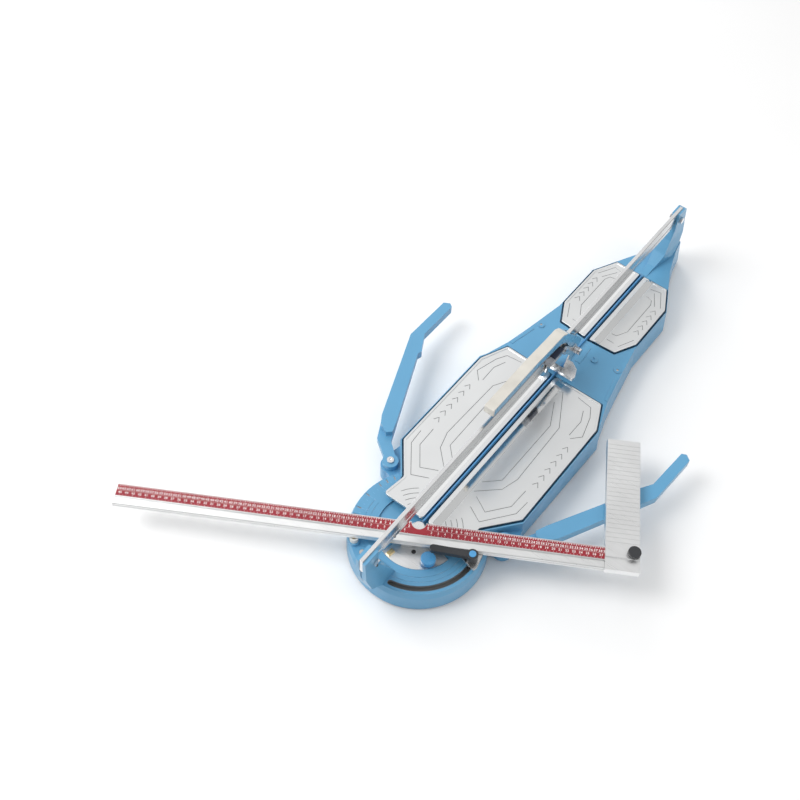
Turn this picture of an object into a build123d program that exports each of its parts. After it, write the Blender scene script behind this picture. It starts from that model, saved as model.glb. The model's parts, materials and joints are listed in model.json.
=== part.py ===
from build123d import *
import os
from math import atan2, cos, degrees, hypot, radians, sin

os.makedirs("parts", exist_ok=True)

# Pull-lever tile cutter with an angle rule.
# +X runs across the cut, +Y along the cut to the rear, +Z up, in millimetres.
# The origin is on the rule's swivel axis, at the level of the floor.
# Inside this file heights are counted from the top of the breaking plates,
# and save() lifts every piece by PLATE_HEIGHT.

# ---- driving dimensions -------------------------------------------------
PLATE_HEIGHT = 82.0          # plates' top above the floor
CASTING_BOTTOM = -76.0       # lower edge of the base casting
FOOT_RADIUS = 14.0

FRAME_TOP = -4.0             # rim round the plates
DECK_TOP = -20.0             # deck under the plates and top of the round table
DECK_THICK = 8.0
RIB_LOW = -74.0              # lower edge of the inner ribs, where the closing pan sits
PAN_GAP = 0.2
TROUGH_FLOOR = -45.0         # closed channel under the curved slot
TROUGH_END = 6.0             # how far the channel runs past the slot, in degrees
RING_RADIUS = 122.0
WALL = 7.0

TABLE_RADIUS_TOP = 147.0     # round angle table
TABLE_RADIUS_LOW = 154.0
SHOULDER_DROP = 14.0
SHOULDER_RADIUS = 152.0
RECESS_RADIUS = 91.0
RECESS_DEPTH = 5.0
SLOT_RADIUS = 134.0
SLOT_WIDTH = 12.0
SLOT_FROM = -78.0
SLOT_TO = 21.0

PLATE_THICK = 6.0
PLATE_GAP = 4.0
PLATE_RIM = 5.0              # raised edge round a plate
SLOPE_FROM = 17.0            # polished slope beside the inner strip
SLOPE_TO = 34.0
DISH = 1.6                   # how far the plate's middle lies below its rim
GROOVE_WIDTH = 1.3
GROOVE_DEPTH = 0.8
RIB_HALF = 1.6
RIB_TOP = 2.0
RIB_FRONT = 16.0
RIB_REAR = 912.0

RAIL_HALF = 4.5
RAIL_TOP = 136.0
RAIL_BOTTOM = 90.0
RAIL_FRONT = -191.0
RAIL_REAR = 1046.0
FRONT_POST_HALF = 12.6       # posts' half width at the height of the bolts
REAR_POST_HALF = 10.0

FRONT_BOLT = (-160.0, 101.0) # y and z of the bolts through the rail
REAR_BOLT = (1036.0, 106.0)
STOP_PIN = (-92.0, 96.0, 2.5) # y, z and radius
BOLT_RADIUS = 4.0
BOLT_HEAD = 15.0
BOLT_HEAD_HEIGHT = 6.0

RULE_ANGLE = 30.8            # swivel of the rule at rest
RULE_LEFT = -648.0
RULE_RIGHT = 462.0
RULE_DEPTH = 48.0
RULE_BOTTOM = 1.5
RULE_TOP = 17.0
BAND_DEPTH = 30.0
SCALE_THICK = 0.4
NOTCH_RADIUS = 15.5
SWIVEL_HEAD = 13.0

CLAMP_U = 117.7              # clamp bolt, along and in front of the rule
CLAMP_V = -62.0
CAP_RADIUS = 75.0            # round cap on the sector, from the swivel axis
CAP_ANGLE = -37.0

FENCE_LEFT = 389.0
FENCE_RIGHT = 461.0
FENCE_LENGTH = 268.0
FENCE_SCREW = (448.0, -12.0)
KNOB_RADIUS = 13.6
KNOB_FLUTES = 24
RIB_PITCH = 11.0             # cross ribs on the square

ARM_PIVOT_X = 155.0
ARM_PIVOT_Y = 98.0
ARM_LEFT_ANGLE = 28.1
ARM_RIGHT_ANGLE = 32.6
ARM_LOW_BOTTOM = -34.0
ARM_LOW_TOP = -18.0
ARM_TOP = -3.0
ARM_SCREW_RADIUS = 4.95
ARM_BORE_RADIUS = 5.0

LEVER_PIVOT_Y = 556.0        # lever and foot share this axis
LEVER_PIVOT_Z = 70.0
PIVOT_RADIUS = 4.0
CHEEK_IN = 9.0
CHEEK_OUT = 12.0
SIDE_IN = 5.2
SIDE_OUT = 8.4
HOUSING_OUT = 20.4
ROLLER_RADIUS = 9.0
ROLLER_HALF = 4.6
ROLLER_GAP = 0.1
AXLE_RADIUS = 3.0
KEEPER_LOW = 85.0            # lower edge of the side plates' front part
WHEEL_RADIUS = 11.0
WHEEL_AXLE = 2.5
WHEEL_Y = 580.0
WHEEL_Z = 30.0

RUN = 0.05                   # radial clearance of a running fit
CLEAR = 0.3                  # gap between pieces that slide past each other

# Half outlines, from the centre line outwards (x >= 0), front to rear.
LARGE_PLATE = [(6.5, 20), (109, 17), (101, 77), (161, 152), (161, 446), (131, 514), (6.5, 512)]
SMALL_PLATE = [(6.5, 656), (75, 661), (102.7, 716), (102.5, 850), (71.5, 912), (6.5, 912)]
BODY_TOP = [(106.4, 72.6), (166.4, 147.6), (167, 450), (158, 468), (139, 528), (127, 588),
            (119, 633), (107, 703), (107, 852), (74, 918), (46, 974), (24, 1040), (16, 1080)]
BODY_LOW = [(106.4, 72.6), (168, 149.6), (173, 452), (164, 471), (146, 532), (134, 592),
            (126, 636), (113, 706), (113, 856), (80, 923), (53, 982), (31, 1046), (22, 1088)]

ISLAND_PADS = [[(11, 645), (24, 639), (29, 582), (14, 583)], [(114, 600), (121, 600), (137, 530), (129, 530)]]
SCREW_PAD = (108, 622)

LARGE_SPRINGS = [(24, 130), (24, 280), (24, 440)]
SMALL_SPRINGS = [(20, 700), (20, 870)]
LARGE_HINGE_X = 150.0
SMALL_HINGE_X = 92.0
LARGE_HINGES = [205, 405]
SMALL_HINGES = [740, 825]
HINGE_Z = -12.0
SPRING_CUP = 8.0
SPRING_BOTTOM = -42.0
FEET = [(0, 0), (-76, -78), (76, -78), (-148, 300), (148, 300), (-90, 640), (90, 640), (0, 1030)]
FOOT_BOSS = 12.0
REST_STUD = (-90, -106)      # stud on the table, left of the rail
TABLE_SCREW = (-59, -117)


# ---- small helpers ------------------------------------------------------
def save(name, shape):
    """Write one node, lifted from the plates' plane to the floor's."""
    export_step(Pos(0, 0, PLATE_HEIGHT) * shape, f"parts/{name}.step")


def box(x0, x1, y0, y1, z0, z1):
    """A box between two corners."""
    centre = ((x0 + x1) / 2, (y0 + y1) / 2, (z0 + z1) / 2)
    return Pos(*centre) * Box(x1 - x0, y1 - y0, z1 - z0)


def rod(x, y, z0, z1, radius):
    """An upright cylinder."""
    return Pos(x, y, (z0 + z1) / 2) * Cylinder(radius, z1 - z0)


def pin(x0, x1, y, z, radius):
    """A cylinder along X."""
    return Pos((x0 + x1) / 2, y, z) * Rot(0, 90, 0) * Cylinder(radius, x1 - x0)


def hexagon(x0, x1, y, z, across):
    """A hexagonal head along X."""
    face = Plane.YZ.offset(x0) * Pos(y, z) * RegularPolygon(across / 2, 6, major_radius=False)
    return extrude(face, x1 - x0, dir=(1, 0, 0))


def slab(points, z0, z1):
    """A flat plate with the given plan outline."""
    return Pos(0, 0, z0) * extrude(Polygon(*points, align=None), z1 - z0, dir=(0, 0, 1))


def side_slab(points, x0, x1):
    """A plate standing along the cut, outlined by (y, z)."""
    face = Plane.YZ.offset(x0) * Polygon(*points, align=None)
    return extrude(face, x1 - x0, dir=(1, 0, 0))


def front_slab(points, y0, y1):
    """A plate standing across the cut, outlined by (x, z)."""
    face = Plane.XZ.offset(-y0) * Polygon(*points, align=None)
    return extrude(face, y1 - y0, dir=(0, 1, 0))


def mirrored(points):
    """The same outline on the other side of the centre line, in order."""
    return [(-x, y) for x, y in reversed(points)]


def full(points):
    """Close a half outline across the centre line."""
    return points + mirrored(points)


def sided(points, side):
    """A half outline on the right (side 1) or the left (side -1)."""
    return points if side > 0 else mirrored(points)


def grown(points, amount):
    """Move every side of a plan outline outwards by the same distance."""
    following = points[1:] + points[:1]
    area = sum(x0 * y1 - x1 * y0 for (x0, y0), (x1, y1) in zip(points, following))
    outward = amount if area > 0 else -amount
    result = []
    for before, corner, after in zip(points[-1:] + points[:-1], points, following):
        normals = []
        for (x0, y0), (x1, y1) in ((before, corner), (corner, after)):
            length = hypot(x1 - x0, y1 - y0)
            normals.append(((y1 - y0) / length, (x0 - x1) / length))
        (ax, ay), (bx, by) = normals
        scale = outward / (1 + ax * bx + ay * by)
        result.append((corner[0] + scale * (ax + bx), corner[1] + scale * (ay + by)))
    return result


def rounded_slab(points, z0, z1, radius):
    """A flat plate with rounded upright corners."""
    plate = slab(points, z0, z1)
    return fillet(plate.edges().filter_by(Axis.Z), radius)


def turned(shape):
    """Turn a piece from the rule's own directions to the rest angle."""
    return Rot(0, 0, RULE_ANGLE) * shape


def polar(radius, angle):
    """Plan position from a radius and an angle in degrees."""
    return (radius * cos(radians(angle)), radius * sin(radians(angle)))


def strip(start, end, width, z0, z1):
    """A straight bar with round ends between two plan points."""
    length = hypot(end[0] - start[0], end[1] - start[1])
    angle = degrees(atan2(end[1] - start[1], end[0] - start[0]))
    bar = Pos(length / 2, 0, (z0 + z1) / 2) * Box(length, width, z1 - z0)
    bar += rod(0, 0, z0, z1, width / 2)
    bar += rod(length, 0, z0, z1, width / 2)
    return Pos(start[0], start[1], 0) * Rot(0, 0, angle) * bar


def coil(x, y, z0, z1, radius, wire, turns):
    """An upright compression spring."""
    path = Helix((z1 - z0 - 2 * wire) / turns, z1 - z0 - 2 * wire, radius - wire)
    profile = Plane(path @ 0, z_dir=path % 0) * Circle(wire)
    spring = sweep(profile, path=path, is_frenet=True)
    return Pos(x, y, z0 + wire) * spring


# ---- base ---------------------------------------------------------------
def angle_table():
    """The round table under the rule, with its sloping shoulder."""
    section = [(0, CASTING_BOTTOM), (TABLE_RADIUS_LOW, CASTING_BOTTOM),
               (SHOULDER_RADIUS, DECK_TOP - SHOULDER_DROP), (TABLE_RADIUS_TOP, DECK_TOP), (0, DECK_TOP)]
    return revolve(Plane.XZ * Polygon(*section, align=None), Axis.Z)


def arc_band(inner, outer, past, z0, z1):
    """Part of a ring, as long as the curved slot and a little past its ends."""
    ring = rod(0, 0, z0, z1, outer) - rod(0, 0, z0, z1, inner)
    middle = (SLOT_FROM + SLOT_TO) / 2
    wedge = [polar(2 * outer, angle) for angle in (SLOT_FROM - past, middle, SLOT_TO + past)]
    return ring & slab([(0, 0)] + wedge, z0, z1)


def arc_slot(z0, z1):
    """Curved slot for the clamp bolt."""
    slot = arc_band(SLOT_RADIUS - SLOT_WIDTH / 2, SLOT_RADIUS + SLOT_WIDTH / 2, 0, z0, z1)
    for angle in (SLOT_FROM, SLOT_TO):
        x, y = polar(SLOT_RADIUS, angle)
        slot += rod(x, y, z0, z1, SLOT_WIDTH / 2)
    return slot


def slot_trough(top):
    """Closed channel below the slot, in which the clamp's nut runs."""
    outer = TABLE_RADIUS_TOP - 4
    body = arc_band(RING_RADIUS - 1, outer, TROUGH_END + 3, TROUGH_FLOOR, top)
    return body - arc_band(RING_RADIUS, outer + 1, TROUGH_END, TROUGH_FLOOR + 4, top + 1)


def engraved_arc(radius):
    """Fine line on the table, along the inner side of the slot."""
    low = DECK_TOP - 0.5
    line = rod(0, 0, low, DECK_TOP + 1, radius + 0.6) - rod(0, 0, low, DECK_TOP + 1, radius)
    return line & box(-radius - 2, radius + 2, -radius - 2, 0, DECK_TOP - 1, DECK_TOP + 1)


def detent_notches():
    """Shallow radial notches in the table's rim at the common angles."""
    notches = []
    for angle in (-45, -30, -22.5, -15, 0, 15, 22.5, 30, 45):
        x0, y0 = polar(TABLE_RADIUS_TOP - 12, 180 + angle)
        x1, y1 = polar(TABLE_RADIUS_TOP + 6, 180 + angle)
        notches.append(strip((x0, y0), (x1, y1), 3.0, DECK_TOP - 2.0, DECK_TOP + 1))
    return notches


def hollow_underside():
    """The space inside the casting, open to the floor."""
    cavity_top = DECK_TOP - DECK_THICK
    body = slab(grown(full(BODY_TOP), -WALL), CASTING_BOTTOM, cavity_top)
    table = rod(0, 0, CASTING_BOTTOM, cavity_top, TABLE_RADIUS_TOP - 5)
    island = box(-100, 100, 526, 640, CASTING_BOTTOM, FRAME_TOP - DECK_THICK)
    return body + table + island


def underside_ribs():
    """Stiffening ribs, bosses and spring cups inside the casting."""
    top = DECK_TOP - DECK_THICK
    widths = {150: 160, 235: 163, 350: 163, 460: 156, 522: 137, 640: 114, 690: 104, 800: 102, 905: 76}
    ribs = [box(-half, half, y - 2.5, y + 2.5, RIB_LOW, top) for y, half in widths.items()]
    ribs.append(box(-3, 3, 130, 1060, RIB_LOW, top))
    ribs.append(rod(0, 0, RIB_LOW, top, 17))
    ribs.append(rod(0, 0, RIB_LOW, top, RING_RADIUS) - rod(0, 0, RIB_LOW, top, RING_RADIUS - 5))
    for i in range(6):
        ribs.append(Rot(0, 0, 60 * i + 30) * box(10, RING_RADIUS - 2, -2.5, 2.5, RIB_LOW, top))
    for x, y in FEET[1:]:
        ribs.append(rod(x, y, RIB_LOW, top, FOOT_BOSS))
    for side in (-1, 1):
        for x, y in LARGE_SPRINGS + SMALL_SPRINGS:
            ribs.append(rod(side * x, y, SPRING_BOTTOM - 4, top, SPRING_CUP + 3))
    ribs.append(slot_trough(top))
    return ribs


def base_casting():
    """The blue die-cast base: table, plate frame, arm lugs and deck."""
    low = Pos(0, 0, CASTING_BOTTOM) * Polygon(*full(BODY_LOW), align=None)
    top = Pos(0, 0, FRAME_TOP) * Polygon(*full(BODY_TOP), align=None)
    base = loft([low, top], ruled=True) + angle_table()
    lug_top = ARM_LOW_BOTTOM - 0.4
    for side in (-1, 1):
        base += rod(side * ARM_PIVOT_X, ARM_PIVOT_Y, CASTING_BOTTOM, lug_top, 22)
        web = [(side * 100, 60), (side * 150, 77), (side * 176, 105), (side * 165, 170)]
        base += slab(web if side > 0 else web[::-1], CASTING_BOTTOM, lug_top)
    base -= hollow_underside()
    for rib in underside_ribs():
        base += rib
    for side in (-1, 1):
        for outline in (LARGE_PLATE, SMALL_PLATE):
            base -= slab(grown(sided(outline, side), PLATE_GAP), DECK_TOP, FRAME_TOP + 1)
    base -= rod(0, 0, DECK_TOP - RECESS_DEPTH, DECK_TOP, RECESS_RADIUS)
    base -= arc_slot(DECK_TOP - DECK_THICK - 1, DECK_TOP + 1)
    for cut in detent_notches() + [engraved_arc(radius) for radius in (108, 119)]:
        base -= cut
    base -= rod(0, 0, CASTING_BOTTOM + 6, DECK_TOP, 8)
    for side in (-1, 1):
        base -= rod(side * ARM_PIVOT_X, ARM_PIVOT_Y, CASTING_BOTTOM + 10, lug_top, ARM_SCREW_RADIUS)
        for x, y in LARGE_SPRINGS + SMALL_SPRINGS:
            base -= rod(side * x, y, SPRING_BOTTOM, DECK_TOP, SPRING_CUP)
        for x, rows in ((LARGE_HINGE_X, LARGE_HINGES), (SMALL_HINGE_X, SMALL_HINGES)):
            for y in rows:
                base += hinge_posts(side * x, y)
        for outline in ISLAND_PADS:
            base += slab([(side * x, y) for x, y in outline], FRAME_TOP - 1, FRAME_TOP + 1)
        base += rod(side * SCREW_PAD[0], SCREW_PAD[1], FRAME_TOP, FRAME_TOP + 2, 9)
        base -= rod(side * SCREW_PAD[0], SCREW_PAD[1], FRAME_TOP - 3, FRAME_TOP + 3, 3)
        base += rod(side * 50, 612, FRAME_TOP, FRAME_TOP + 3, 8)
        base -= rod(side * 45, 612, FRAME_TOP + 0.5, FRAME_TOP + 4, 5)
    base += box(-RIB_HALF, RIB_HALF, RIB_FRONT, 80, DECK_TOP, FRAME_TOP)
    base += rod(*REST_STUD, DECK_TOP, -12, 12)
    return base


def hinge_posts(x, y):
    """Two posts that hold one hinge pin of a breaking plate."""
    posts = None
    for offset_y in (-12, 12):
        post = box(x - 6, x + 6, y + offset_y - 4, y + offset_y + 4, DECK_TOP, HINGE_Z + 5)
        post -= Pos(x, y + offset_y, HINGE_Z) * Rot(90, 0, 0) * Cylinder(3, 10)
        posts = post if posts is None else posts + post
    return posts


def base_pan():
    """Sheet that closes the casting's underside, inside its outer wall."""
    pan = slab(grown(full(BODY_TOP), -WALL - PAN_GAP), CASTING_BOTTOM, RIB_LOW)
    return pan + rod(0, 0, CASTING_BOTTOM, RIB_LOW, TABLE_RADIUS_TOP - 5 - PAN_GAP)


def feet():
    """Rubber feet, one under each boss."""
    return [rod(x, y, -PLATE_HEIGHT, CASTING_BOTTOM, FOOT_RADIUS) for x, y in FEET]


# ---- rail and posts -----------------------------------------------------
def rail():
    """Polished bar that the carriage runs on."""
    bar = box(-RAIL_HALF, RAIL_HALF, RAIL_FRONT, RAIL_REAR, RAIL_BOTTOM, RAIL_TOP)
    bar = chamfer(bar.edges().filter_by(Axis.Y), 1.0)
    middle = (RAIL_TOP + RAIL_BOTTOM) / 2
    for x in (-RAIL_HALF, RAIL_HALF):
        bar -= box(x - 0.8, x + 0.8, RAIL_FRONT, RAIL_REAR, middle - 9, middle + 9)
    for bolt in (FRONT_BOLT, REAR_BOLT):
        bar -= pin(-8, 8, *bolt, BOLT_RADIUS + RUN)
    return bar - pin(-8, 8, *STOP_PIN)


def front_post():
    """Slanting post at the front of the table, forked round the rail."""
    side = [(-104, DECK_TOP), (-150, 78), (-152, 96), (-152, RAIL_TOP - 3), (-193, RAIL_TOP - 3),
            (-191, 62), (-178, 10), (-146, DECK_TOP)]
    front = [(-19, DECK_TOP), (19, DECK_TOP), (13, 70), (12, RAIL_TOP - 3), (-12, RAIL_TOP - 3), (-13, 70)]
    post = side_slab(side, -30, 30) & front_slab(front, -240, -80)
    post -= box(-RAIL_HALF, RAIL_HALF, -200, -140, RAIL_BOTTOM, RAIL_TOP)
    post -= box(-1.2, 1.2, -200, -165, 40, RAIL_BOTTOM)
    return post - pin(-20, 20, *FRONT_BOLT, BOLT_RADIUS + RUN)


def rear_post():
    """Rear hump that rises from the deck to the rail's end."""
    side = [(918, FRAME_TOP), (955, 2), (988, 22), (1010, 52), (1020, 80), (1020, RAIL_TOP - 2),
            (1050, RAIL_TOP - 2), (1058, RAIL_TOP - 8), (1074, 60), (1084, FRAME_TOP)]
    front = [(24, FRAME_TOP), (17, 12), (12, 46), (10, 90), (9.6, RAIL_TOP - 2)]
    plan = [(9, 900), (10, 950), (16, 985), (24, 1020), (20, 1050), (14, 1075), (8, 1084)]
    post = side_slab(side, -50, 50) & front_slab(full(front), 880, 1120)
    post = post & slab(full(plan), FRAME_TOP, RAIL_TOP)
    post -= box(-RAIL_HALF, RAIL_HALF, 1000, RAIL_REAR, RAIL_BOTTOM, RAIL_TOP)
    return post - pin(-20, 20, *REAR_BOLT, BOLT_RADIUS + RUN)


def rail_bolt(place, post_half):
    """A through bolt with a hexagonal head and a nut, standing off a post."""
    seat = post_half + 0.5
    bolt = pin(-seat - 3, seat + 3, *place, BOLT_RADIUS)
    for x in (-seat - BOLT_HEAD_HEIGHT, seat):
        bolt += hexagon(x, x + BOLT_HEAD_HEIGHT, *place, BOLT_HEAD)
    return bolt


# ---- breaking plates ----------------------------------------------------
def groove(points, z):
    """Narrow engraved line through a list of plan points."""
    return [strip(a, b, GROOVE_WIDTH, z - GROOVE_DEPTH, z + 1) for a, b in zip(points, points[1:])]


def engraved(outlines, side):
    """Lines through several lists of plan points, on the given side."""
    lines = []
    for outline in outlines:
        lines += groove([(side * x, y) for x, y in outline], -DISH)
    return lines


def chevrons(x, first, last, count):
    """A row of small arrowheads, the plates' plain motif."""
    step = (last - first) / (count - 1)
    rows = [first + step * i for i in range(count)]
    return [[(x - 7, y - 6), (x, y + 5), (x + 7, y - 6)] for y in rows]


def large_pattern(side):
    """Nested outlines, arcs and motif engraved in a large plate."""
    outlines = [
        [(44, 486), (92, 398), (96, 228), (84, 186), (40, 144)],
        [(44, 450), (73, 390), (71, 205), (40, 174)],
        [(126, 215), (124, 164), (88, 117), (52, 136)],
        [(145, 194), (142, 156), (92, 90), (56, 108)],
        [(80, 496), (117, 491), (131, 466), (146, 411), (127, 390)],
        [(109, 472), (121, 443), (120, 397)],
    ]
    for radius in (58, 70, 82, 94):
        outlines.append([polar(radius, 28 + 8 * i) for i in range(4)])
    return engraved(outlines + chevrons(135, 244, 362, 6), side)


def small_pattern(side):
    """Nested outlines and motif engraved in a small plate."""
    outlines = [
        [(40, 888), (66, 894), (90, 850)],
        [(44, 862), (60, 858), (66, 844), (66, 735), (52, 708), (40, 706)],
        [(54, 882), (76, 846)],
        [(91, 722), (72, 682)],
        [(40, 684), (58, 684)],
    ]
    return engraved(outlines + chevrons(84, 750, 830, 5), side)


def dished(plate, outline):
    """Lower the plate's middle, with a slope beside its inner strip."""
    far = 200
    section = [(SLOPE_FROM, 0), (SLOPE_FROM, 1), (far, 1), (far, -DISH), (SLOPE_TO, -DISH)]
    depth = front_slab(section, 0, 1000) + front_slab(mirrored(section), 0, 1000)
    return plate - (depth & slab(grown(outline, -PLATE_RIM), -PLATE_THICK, 1))


def breaking_plate(outline, side, hinge_x, hinge_rows, pattern, radius):
    """A sprung plate with hinge lugs below its outer edge."""
    plate = rounded_slab(sided(outline, side), -PLATE_THICK, 0, radius)
    top = plate.faces().sort_by(Axis.Z)[-1]
    plate = dished(chamfer(top.edges(), 0.8), sided(outline, side))
    for line in pattern:
        plate -= line
    for y in hinge_rows:
        x = side * hinge_x
        lug = box(x - 6, x + 6, y - 7.5, y + 7.5, HINGE_Z - 5, -PLATE_THICK)
        lug -= Pos(x, y, HINGE_Z) * Rot(90, 0, 0) * Cylinder(3 + RUN, 16)
        plate += lug
    return plate


def hinge_pins():
    """The pins under the plates' outer edges."""
    pins = []
    for side in (-1, 1):
        for x, rows in ((LARGE_HINGE_X, LARGE_HINGES), (SMALL_HINGE_X, SMALL_HINGES)):
            for y in rows:
                pins.append(Pos(side * x, y, HINGE_Z) * Rot(90, 0, 0) * Cylinder(3, 34))
    return pins


def plate_springs(places, side):
    """Coil springs under one plate."""
    return [coil(side * x, y, SPRING_BOTTOM, -PLATE_THICK, 6.5, 0.9, 5) for x, y in places]


# ---- rule, its bracket and clamp ---------------------------------------
def rule_extrusion():
    """Aluminium rule with a raised band and a lower ledge."""
    front = -RULE_DEPTH
    section = [(0, RULE_BOTTOM), (0, RULE_TOP), (-BAND_DEPTH, RULE_TOP), (-BAND_DEPTH, 13.0), (-33, 13.0),
               (-33, 15.0), (front + 1.5, 15.0), (front, 13.5), (front, 10.0), (front + 1.2, 9.0),
               (front + 1.2, 6.5), (front, 5.5), (front, RULE_BOTTOM)]
    rule = side_slab(section, RULE_LEFT, RULE_RIGHT)
    rule -= rod(0, 0, 0, RULE_TOP + 1, NOTCH_RADIUS)
    return turned(rule)


def scale_strip():
    """Coloured scale glued on the rule's raised band."""
    band = box(RULE_LEFT + 3, RULE_RIGHT - 2, 1.5 - BAND_DEPTH, -1.5, RULE_TOP, RULE_TOP + SCALE_THICK)
    return turned(band - rod(0, 0, 0, RULE_TOP + 1, NOTCH_RADIUS + 0.8))


def sector_plate():
    """Silver sector that turns in the table's recess under the rule."""
    z0 = DECK_TOP - RECESS_DEPTH + CLEAR
    z1 = DECK_TOP - 1.0
    radius = RECESS_RADIUS - 1.0
    outer = [polar(radius / cos(radians(12.5)), -140 + 25 * i) for i in range(5)]
    plate = rod(0, 0, z0, z1, radius) & slab([(0, 12)] + outer, z0, z1)
    plate += rod(0, 0, z0, z1, 22)
    plate -= rod(0, 0, z0, z1, 8 + RUN)
    plate = turned(plate)
    plate -= rod(22, -45, z0, z1, 5)
    return plate


def rule_bracket():
    """Block that carries the rule on the sector plate."""
    block = box(-34, 34, -42, -16, DECK_TOP - 1, RULE_BOTTOM)
    return turned(chamfer(block.edges().filter_by(Axis.Z), 3))


def clamp_bracket():
    """Three-cornered plate on the rule's front edge that takes the clamp bolt."""
    outline = [(83, -RULE_DEPTH), (118, -84), (124, -86), (130, -80), (140, -RULE_DEPTH)]
    plate = slab(outline, CLEAR, RULE_BOTTOM + 4)
    plate += rod(CLAMP_U, CLAMP_V, DECK_TOP + CLEAR, RULE_BOTTOM, 9)
    plate -= rod(CLAMP_U, CLAMP_V, DECK_TOP, RULE_BOTTOM + 4, 4)
    return turned(plate)


def clamp_bolt():
    """Bolt through the curved slot, with its nut plate below the table."""
    nut_top = DECK_TOP - DECK_THICK - CLEAR
    bolt = rod(CLAMP_U, CLAMP_V, nut_top - 6, RULE_BOTTOM + 24, 4)
    bolt += rod(CLAMP_U, CLAMP_V, nut_top - 6, nut_top, 7.5)
    return turned(bolt)


def clamp_lever():
    """Black lever on the clamp bolt."""
    low = RULE_BOTTOM + 4 + CLEAR
    lever = rod(CLAMP_U, CLAMP_V, low, 27, 12)
    lever += strip((CLAMP_U, CLAMP_V), (36, -58), 15, 14, 26)
    lever = lever - rod(CLAMP_U, CLAMP_V, low, RULE_BOTTOM + 24, 4 + RUN)
    return turned(lever)


def sector_cap():
    """Blue round cap standing on the sector plate."""
    x, y = polar(CAP_RADIUS, CAP_ANGLE)
    cap = rod(x, y, -14, -2, 16)
    cap = fillet(cap.edges().sort_by(Axis.Z)[-1], 2)
    return cap + rod(x, y, DECK_TOP - 1, -14, 8)


def angle_pointer():
    """Brass pointer at the end of the sector plate."""
    x, y = polar(79, -100.5)
    block = Pos(x, y, DECK_TOP + 1) * Rot(0, 0, -10) * Box(10, 16, 4)
    return block


# ---- fence --------------------------------------------------------------
def fence_blade():
    """Ribbed square that stands on the tile side of the rule."""
    blade = box(FENCE_LEFT, FENCE_RIGHT, CLEAR + 0.2, FENCE_LENGTH, 3, 20)
    for i in range(1, int(FENCE_LENGTH / RIB_PITCH)):
        y = CLEAR + i * RIB_PITCH
        blade -= box(FENCE_LEFT - 1, FENCE_RIGHT + 1, y, y + 1.4, 19.4, 21)
    return turned(blade)


def fence_block():
    """Slider that holds the square on the rule."""
    top = RULE_TOP + SCALE_THICK + CLEAR
    lip = -RULE_DEPTH - CLEAR
    block = box(FENCE_LEFT, FENCE_RIGHT, -24, CLEAR + 0.2, top, 24)
    block += box(FENCE_LEFT, FENCE_RIGHT, lip - 4, -24, top, 20.5)
    block += box(FENCE_LEFT, FENCE_RIGHT, lip - 4, lip, 4, 20.5)
    block += box(FENCE_LEFT, FENCE_RIGHT, CLEAR + 0.2, 4, top, 24)
    block -= box(FENCE_LEFT, FENCE_RIGHT, CLEAR + 0.2, 4, 3, 20)
    block -= rod(413, -25.5, 19, 21, 1.6)
    block -= rod(*FENCE_SCREW, top, 25, 4 + RUN)
    return turned(block)


def fence_knob():
    """Knurled black clamping knob with its screw."""
    knob = rod(*FENCE_SCREW, 24 + CLEAR, 35, KNOB_RADIUS)
    knob = fillet(knob.edges().sort_by(Axis.Z)[-1], 1.5)
    u, v = FENCE_SCREW
    for i in range(KNOB_FLUTES):
        x, y = polar(KNOB_RADIUS + 0.4, 360 * i / KNOB_FLUTES)
        knob -= rod(u + x, v + y, 24, 36, 1.0)
    knob += rod(*FENCE_SCREW, RULE_TOP + SCALE_THICK + CLEAR, 25, 4)
    return turned(knob)


# ---- side arms ----------------------------------------------------------
def side_arm(side, angle):
    """Cranked support arm; in its own frame it points to the rear."""
    low = [(-9, 14), (8, 50), (4, 104), (40, 104), (40, 52), (16, 8)]
    main = [(8, 66), (4, 92), (-11, 294), (-19, 303), (-17, 312), (-17, 356), (-68, 452), (-62, 462),
            (-46, 461), (16, 348), (40, 106), (38, 84), (22, 62)]
    shank = slab([(side * u, v) for u, v in low], ARM_LOW_BOTTOM, ARM_LOW_TOP)
    shank += rod(0, 0, ARM_LOW_BOTTOM, ARM_LOW_TOP, 18)
    blade = slab([(side * u, v) for u, v in main], ARM_LOW_TOP - 8, ARM_TOP)
    upright = blade.edges().filter_by(Axis.Z)
    blade = fillet(upright, 2.5)
    arm = shank + blade
    arm -= rod(0, 0, ARM_LOW_BOTTOM, ARM_LOW_TOP, ARM_BORE_RADIUS)
    return Pos(side * ARM_PIVOT_X, ARM_PIVOT_Y, 0) * Rot(0, 0, -side * angle) * arm


def arm_screw(side):
    """Shouldered screw that an arm swings on."""
    x = side * ARM_PIVOT_X
    screw = rod(x, ARM_PIVOT_Y, CASTING_BOTTOM + 10, ARM_LOW_TOP + 0.3, ARM_SCREW_RADIUS)
    head = rod(x, ARM_PIVOT_Y, ARM_LOW_TOP + 0.3, ARM_LOW_TOP + 3.8, 8)
    head -= extrude(Pos(x, ARM_PIVOT_Y, ARM_LOW_TOP + 1.8) * RegularPolygon(3, 6), 3, dir=(0, 0, 1))
    return screw + head


# ---- carriage, lever, wheel and foot ------------------------------------
def rollers():
    """Places of the three rollers: name, y and z."""
    above = RAIL_TOP + ROLLER_RADIUS + ROLLER_GAP
    below = RAIL_BOTTOM - ROLLER_RADIUS - ROLLER_GAP
    return [("upper_front", 462, above), ("upper_rear", 500, above), ("lower_rear", 538, below)]


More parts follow.
